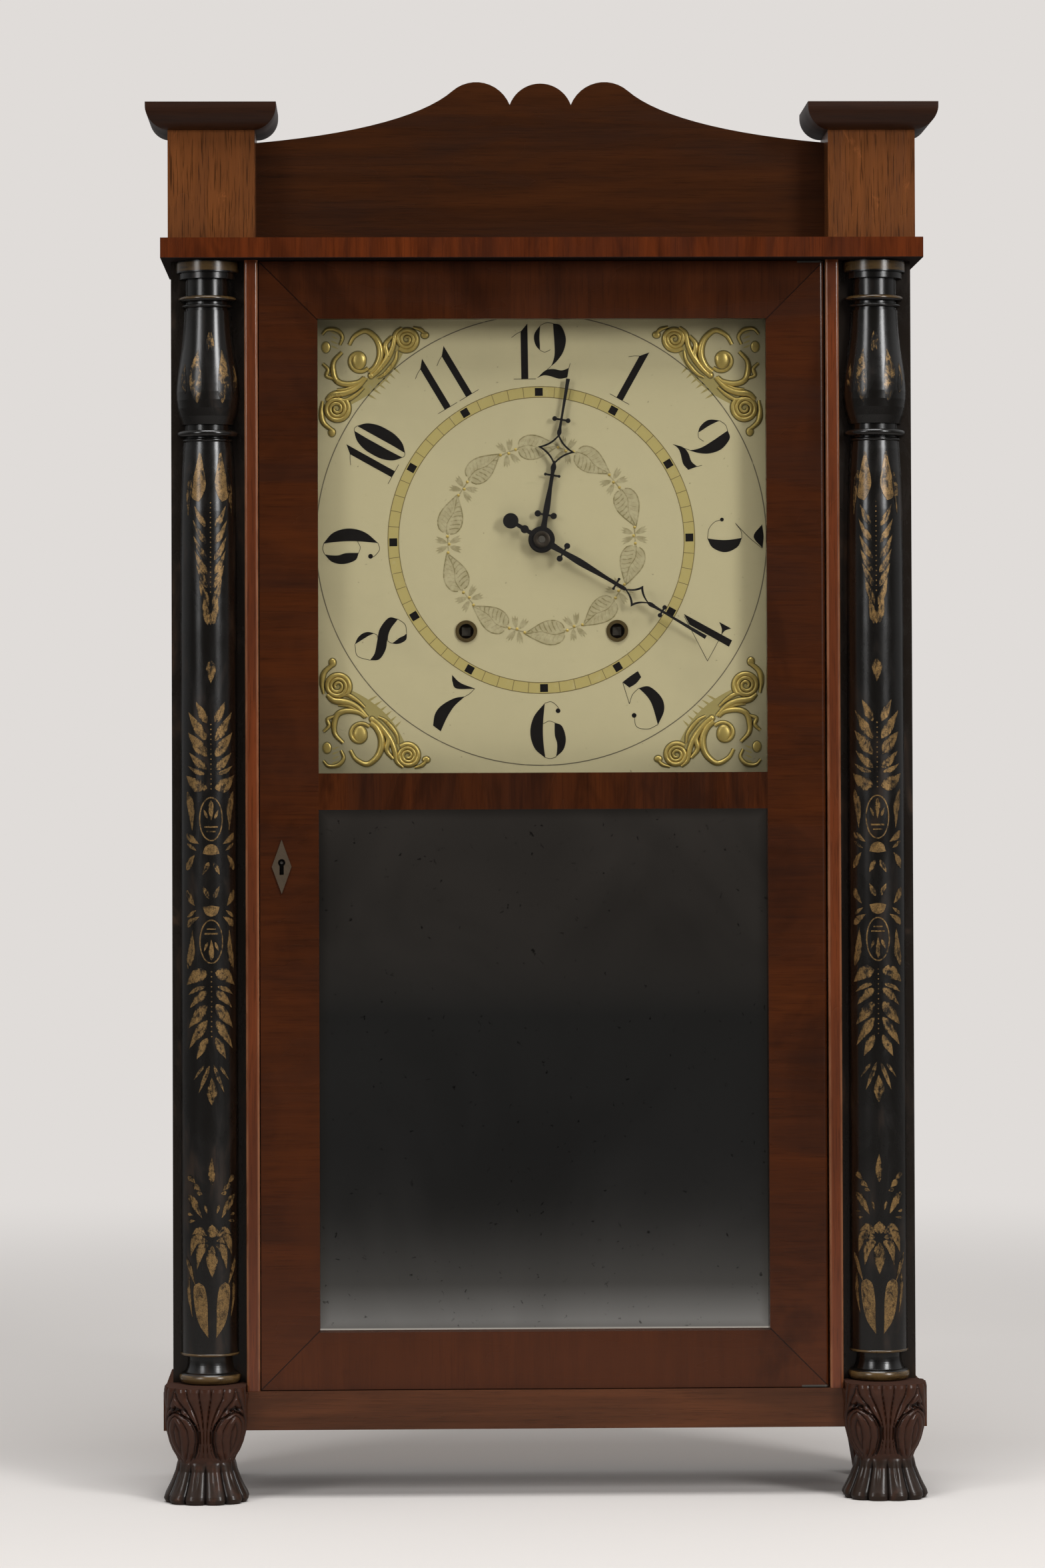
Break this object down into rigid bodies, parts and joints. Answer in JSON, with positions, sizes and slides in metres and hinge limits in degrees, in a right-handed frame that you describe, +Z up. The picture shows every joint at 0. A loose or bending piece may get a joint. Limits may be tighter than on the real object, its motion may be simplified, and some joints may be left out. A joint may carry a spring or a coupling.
{
  "type": "shelf clock",
  "caption": "Tall shelf clock with half columns, scrolled splat, carved feet, a hinged door with dial glass and mirror, and a weight-driven movement with wooden wheels.",
  "frame": {"origin": "on the floor plane under the middle of the clock's width and depth", "axes": "+Z up, +X to the right seen from the front, +Y towards the back; the dial faces -Y"},
  "size_m": [0.4948, 0.1428, 0.8882],
  "materials": {
    "mahogany_veneer": "dark red-brown mahogany veneer laid across each member, old varnish",
    "chimney_veneer": "lighter brown mahogany veneer with upright grain, worn varnish",
    "splat_veneer": "very dark brown mahogany veneer, level grain",
    "strip_veneer": "orange-brown mahogany, varnished",
    "black_paint": "glossy black paint over wood",
    "bronze_stencil": "bronze powder stencil on black paint",
    "carved_wood": "carved wood, nearly black varnish",
    "case_wood": "stained case wood",
    "pine": "bare aged pine",
    "dial_paint": "aged cream paint with olive cast, varnished",
    "dial_black": "black paint on the dial",
    "dial_gilt": "raised gilt gesso and gold paint",
    "wheel_cherry": "turned and sawn cherry wood",
    "plate_oak": "planed oak",
    "brass": "aged brass",
    "iron": "rough cast iron",
    "steel_wire": "dull drawn steel",
    "hand_metal": "blackened steel",
    "glass": "old clear window glass",
    "mirror": "old silvered mirror",
    "cord": "twisted flax cord"
  },
  "bodies": {
    "case": {"base_slab": "mahogany_veneer", "side_left": "case_wood", "side_right": "case_wood", "back_boards": "pine", "pilasters": "black_paint", "door_strip_left": "strip_veneer", "door_strip_right": "strip_veneer", "column_left": "black_paint", "column_right": "black_paint", "foot_front_left": "carved_wood", "foot_front_right": "carved_wood", "rear_feet": "case_wood", "cornice_board": "mahogany_veneer", "chimney_left": "chimney_veneer", "chimney_right": "chimney_veneer", "cap_left": "splat_veneer", "cap_right": "splat_veneer", "splat": "splat_veneer", "dial_board": "dial_paint", "winding_rings": "brass", "movement_rails": "pine", "plate_front": "plate_oak", "plate_back": "plate_oak", "bell": "brass", "cord_runs": "cord", "cord_drop_left": "cord", "cord_drop_right": "cord"},
    "door": {"stile_left": "mahogany_veneer", "stile_right": "mahogany_veneer", "rail_top": "mahogany_veneer", "rail_middle": "mahogany_veneer", "rail_bottom": "mahogany_veneer", "dial_glass": "glass", "mirror_glass": "mirror", "mirror_board": "pine", "escutcheon": "brass", "lock_case": "steel_wire", "door_pins": "steel_wire"},
    "lock_bolt": {"lock_bolt": "steel_wire"},
    "weight_left": {"weight_left": "iron"},
    "weight_right": {"weight_right": "iron"},
    "pulley_left": {"pulley_left": "brass"},
    "pulley_right": {"pulley_right": "brass"},
    "time_drum": {"time_drum": "wheel_cherry"},
    "strike_drum": {"strike_drum": "wheel_cherry"},
    "time_great_wheel": {"time_great_wheel": "wheel_cherry"},
    "centre_wheel": {"centre_wheel": "wheel_cherry"},
    "third_wheel": {"third_wheel": "wheel_cherry"},
    "escape_wheel": {"escape_wheel": "brass"},
    "verge": {"verge": "steel_wire"},
    "pendulum": {"pendulum_rod": "steel_wire", "pendulum_bob": "brass"},
    "minute_hand": {"minute_hand": "hand_metal"},
    "hour_hand": {"hour_hand": "hand_metal"},
    "minute_wheel": {"minute_wheel": "wheel_cherry"},
    "strike_great_wheel": {"strike_great_wheel": "wheel_cherry"},
    "pin_wheel": {"pin_wheel": "wheel_cherry"},
    "fly": {"fly": "wheel_cherry"},
    "count_wheel": {"count_wheel": "wheel_cherry"},
    "hammer": {"hammer": "steel_wire"}
  },
  "joints": [
    {"name": "door", "type": "hinge", "parent": "case", "child": "door", "pos_m": [0.1749, -0.04094, 0.4], "axis": [0, 0, 1], "range_deg": [0, 95]},
    {"name": "lock_bolt", "type": "slide", "parent": "door", "child": "lock_bolt", "axis": [-1, 0, 0], "range_m": [0, 0.0045]},
    {"name": "weight_left", "type": "slide", "parent": "case", "child": "weight_left", "axis": [0, 0, 1], "range_m": [0, 0.39], "deforming": ["cord_drop_left"]},
    {"name": "weight_right", "type": "slide", "parent": "case", "child": "weight_right", "axis": [0, 0, 1], "range_m": [0, 0.39], "deforming": ["cord_drop_right"]},
    {"name": "time_drum", "type": "hinge", "parent": "case", "child": "time_drum", "pos_m": [0.0477, 0, 0.5419], "axis": [0, 1, 0], "range_deg": [0, 1760]},
    {"name": "strike_drum", "type": "hinge", "parent": "case", "child": "strike_drum", "pos_m": [-0.0477, 0, 0.5419], "axis": [0, 1, 0], "range_deg": [-1760, 0]},
    {"name": "pulley_right", "type": "hinge", "parent": "case", "child": "pulley_right", "pos_m": [0.17775, 0.02186, 0.78055], "axis": [0, 1, 0], "range_deg": [-1830, 0]},
    {"name": "pulley_left", "type": "hinge", "parent": "case", "child": "pulley_left", "pos_m": [-0.17775, 0.02186, 0.78055], "axis": [0, 1, 0], "range_deg": [0, 1830]},
    {"name": "third_wheel", "type": "hinge", "parent": "case", "child": "third_wheel", "pos_m": [0.00597, 0, 0.64309], "axis": [0, 1, 0], "continuous": true},
    {"name": "centre_wheel", "type": "hinge", "parent": "case", "child": "centre_wheel", "pos_m": [0, 0, 0.5995], "axis": [0, 1, 0], "continuous": true},
    {"name": "time_great_wheel", "type": "hinge", "parent": "case", "child": "time_great_wheel", "pos_m": [0.0477, 0, 0.5419], "axis": [0, 1, 0], "continuous": true},
    {"name": "escape_wheel", "type": "hinge", "parent": "case", "child": "escape_wheel", "pos_m": [0.03, 0, 0.6699], "axis": [0, 1, 0], "continuous": true},
    {"name": "pendulum", "type": "hinge", "parent": "case", "child": "pendulum", "pos_m": [0.03, 0, 0.7019], "axis": [0, 1, 0], "range_deg": [-3.5, 3.5]},
    {"name": "verge", "type": "hinge", "parent": "case", "child": "verge", "pos_m": [0.03, 0, 0.7019], "axis": [0, 1, 0], "range_deg": [-3.6, 3.6]},
    {"name": "minute_hand", "type": "hinge", "parent": "case", "child": "minute_hand", "pos_m": [0, 0, 0.5995], "axis": [0, 1, 0], "continuous": true},
    {"name": "minute_wheel", "type": "hinge", "parent": "case", "child": "minute_wheel", "pos_m": [0, 0, 0.5755], "axis": [0, 1, 0], "continuous": true},
    {"name": "hour_hand", "type": "hinge", "parent": "case", "child": "hour_hand", "pos_m": [0, 0, 0.5995], "axis": [0, 1, 0], "continuous": true},
    {"name": "pin_wheel", "type": "hinge", "parent": "case", "child": "pin_wheel", "pos_m": [-0.05, 0, 0.57783], "axis": [0, 1, 0], "continuous": true},
    {"name": "strike_great_wheel", "type": "hinge", "parent": "case", "child": "strike_great_wheel", "pos_m": [-0.0477, 0, 0.5419], "axis": [0, 1, 0], "continuous": true},
    {"name": "fly", "type": "hinge", "parent": "case", "child": "fly", "pos_m": [-0.05, 0, 0.60163], "axis": [0, 1, 0], "continuous": true},
    {"name": "count_wheel", "type": "hinge", "parent": "case", "child": "count_wheel", "pos_m": [-0.07488, 0, 0.60747], "axis": [0, 1, 0], "continuous": true},
    {"name": "hammer", "type": "hinge", "parent": "case", "child": "hammer", "pos_m": [-0.0845, 0, 0.56783], "axis": [0, 1, 0], "range_deg": [0, 12]}
  ],
  "couplings": [
    {"joint": "time_drum", "follows": "weight_right", "rad_per_m": 78.431},
    {"joint": "strike_drum", "follows": "weight_left", "rad_per_m": -78.431},
    {"joint": "pulley_right", "follows": "weight_right", "rad_per_m": -81.633},
    {"joint": "pulley_left", "follows": "weight_left", "rad_per_m": 81.633},
    {"joint": "centre_wheel", "follows": "third_wheel", "ratio": -0.11111},
    {"joint": "time_great_wheel", "follows": "third_wheel", "ratio": 0.018519},
    {"joint": "escape_wheel", "follows": "third_wheel", "ratio": -9},
    {"joint": "verge", "follows": "pendulum", "ratio": 1},
    {"joint": "minute_wheel", "follows": "minute_hand", "ratio": -0.33333},
    {"joint": "hour_hand", "follows": "minute_hand", "ratio": 0.083333},
    {"joint": "strike_great_wheel", "follows": "pin_wheel", "ratio": -0.11111},
    {"joint": "fly", "follows": "pin_wheel", "ratio": -7.5},
    {"joint": "count_wheel", "follows": "pin_wheel", "ratio": -0.10256}
  ]
}
